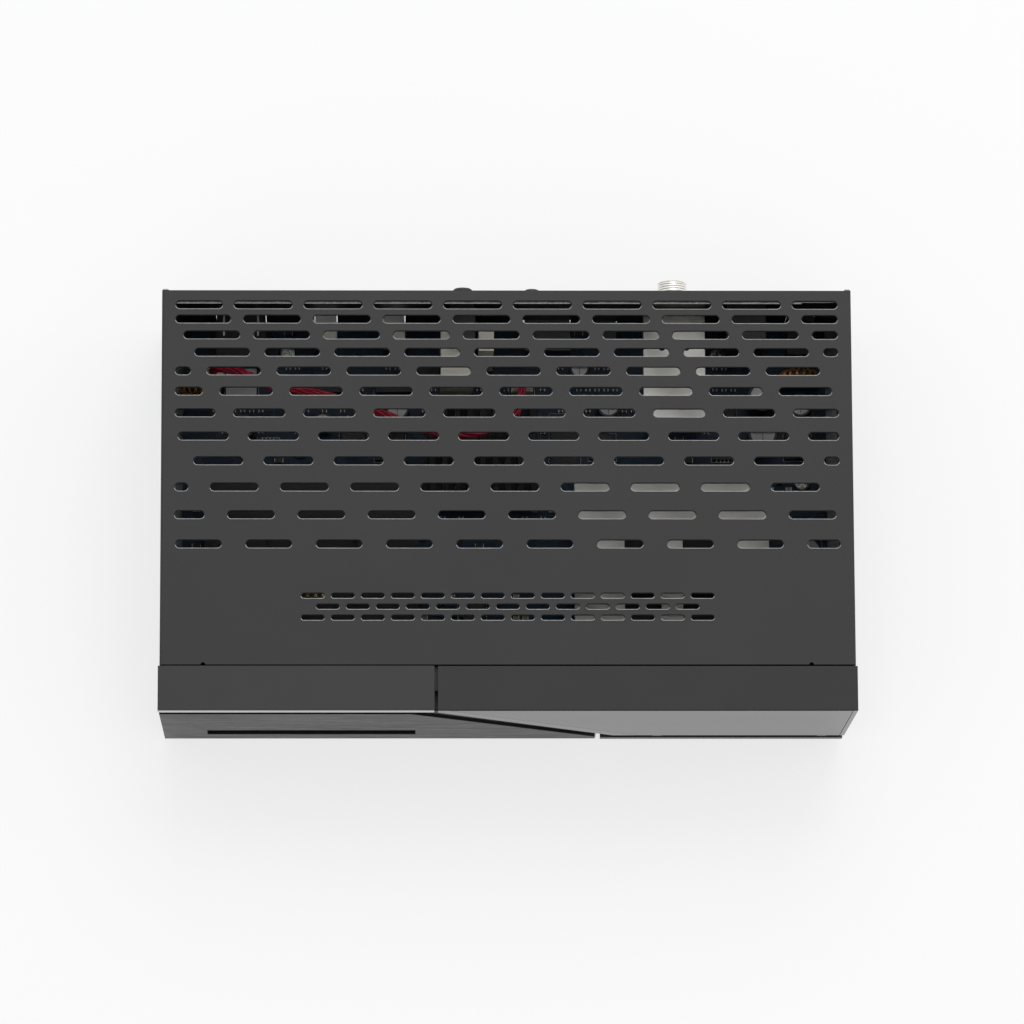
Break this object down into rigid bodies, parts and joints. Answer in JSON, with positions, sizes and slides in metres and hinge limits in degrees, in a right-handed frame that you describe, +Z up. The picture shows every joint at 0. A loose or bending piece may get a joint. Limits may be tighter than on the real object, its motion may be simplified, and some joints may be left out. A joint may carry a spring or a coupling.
{
  "type": "satellite tv receiver",
  "caption": "Flat set-top satellite receiver with a slotted sheet-metal cover, raked front with card slot, a flap door over the module bay, and rear sockets.",
  "frame": {"origin": "middle of the whole object's footprint, on the surface it stands on", "axes": "+X to the right seen from the front, +Y to the back, +Z up"},
  "size_m": [0.225, 0.148, 0.053],
  "materials": {
    "cover_paint": "satin fine powder coat",
    "bare_steel": "zinc-plated sheet",
    "foot_rubber": "soft matt rubber",
    "frame_plastic": "fine-textured ABS",
    "gloss_black": "polished acrylic",
    "brushed_anodised": "brushed dark anodised",
    "light_acrylic": "milky light guide",
    "screw_steel": "blackened steel",
    "bright_steel": "bright plated steel",
    "magnet_nickel": "nickel plated",
    "button_plastic": "satin ABS",
    "board_laminate": "dark blue solder mask on glass-fibre laminate",
    "standoff_brass": "turned",
    "reader_plastic": "moulded glass-filled nylon",
    "tinned_steel": "tinned sheet",
    "socket_shell": "plated sheet",
    "contact_gold": "gold-flashed contacts",
    "tongue_plastic": "moulded insulator",
    "connector_nickel": "nickel-plated brass",
    "chip_epoxy": "moulded epoxy",
    "sink_black": "black anodised",
    "coil_ferrite": "pressed ferrite",
    "can_aluminium": "plain can top",
    "copper_winding": "enamelled copper wire",
    "led_lens": "clear epoxy",
    "header_nylon": "natural nylon",
    "loom_red": "PVC insulation"
  },
  "bodies": {
    "receiver": {"av_jack": "reader_plastic", "backup_cell": "can_aluminium", "board_brackets": "bare_steel", "board_screws": "bright_steel", "brushed_plate": "brushed_anodised", "button_switch": "reader_plastic", "capacitors": "can_aluminium", "card_reader": "reader_plastic", "chassis_tray": "bare_steel", "crystal": "can_aluminium", "dc_inlet": "reader_plastic", "door_magnet": "magnet_nickel", "edge_trim": "gloss_black", "f_connector": "connector_nickel", "f_insulator": "tongue_plastic", "f_nut": "connector_nickel", "f_washer": "bright_steel", "fascia": "frame_plastic", "front_board": "board_laminate", "front_frame": "frame_plastic", "hdmi_socket": "socket_shell", "hdmi_tongue": "tongue_plastic", "heat_sink": "sink_black", "infrared_sensor": "reader_plastic", "lan_contacts": "contact_gold", "lan_socket": "socket_shell", "lan_transformer": "chip_epoxy", "left_cap": "frame_plastic", "light_guide": "light_acrylic", "mainboard": "board_laminate", "memory_chips": "chip_epoxy", "module_cage": "tinned_steel", "module_contacts": "contact_gold", "module_guide": "reader_plastic", "power_coils": "coil_ferrite", "processor": "chip_epoxy", "rear_panel": "bare_steel", "rear_screw": "screw_steel", "rubber_feet": "foot_rubber", "service_socket": "socket_shell", "side_screws": "cover_paint", "small_chips": "chip_epoxy", "standoffs": "standoff_brass", "status_led": "led_lens", "switch_housing": "button_plastic", "top_cover": "cover_paint", "toroid_chokes": "copper_winding", "tuner_can": "tinned_steel", "usb_filters": "coil_ferrite", "usb_sockets": "socket_shell", "usb_tongues": "tongue_plastic", "wire_headers": "header_nylon", "wire_loom": "loom_red", "wire_plugs": "header_nylon"},
    "door": {"flap_door": "frame_plastic", "door_panel": "gloss_black", "hinge_pins": "bright_steel", "strike_plate": "bright_steel"},
    "button": {"standby_button": "button_plastic"},
    "rocker": {"power_rocker": "button_plastic"}
  },
  "joints": [
    {"name": "door_hinge", "type": "hinge", "parent": "receiver", "child": "door", "pos_m": [0.075, -0.0724, 0.0079], "axis": [1, 0, 0], "range_deg": [0, 95]},
    {"name": "standby_press", "type": "slide", "parent": "receiver", "child": "button", "axis": [0, 1, 0], "range_m": [0, 0.0008], "stiffness_N_per_m": 500, "springref_m": -0.001},
    {"name": "power_tilt", "type": "hinge", "parent": "receiver", "child": "rocker", "pos_m": [0.0785, 0.0622, 0.032], "axis": [-1, 0, 0], "range_deg": [0, 14]}
  ]
}
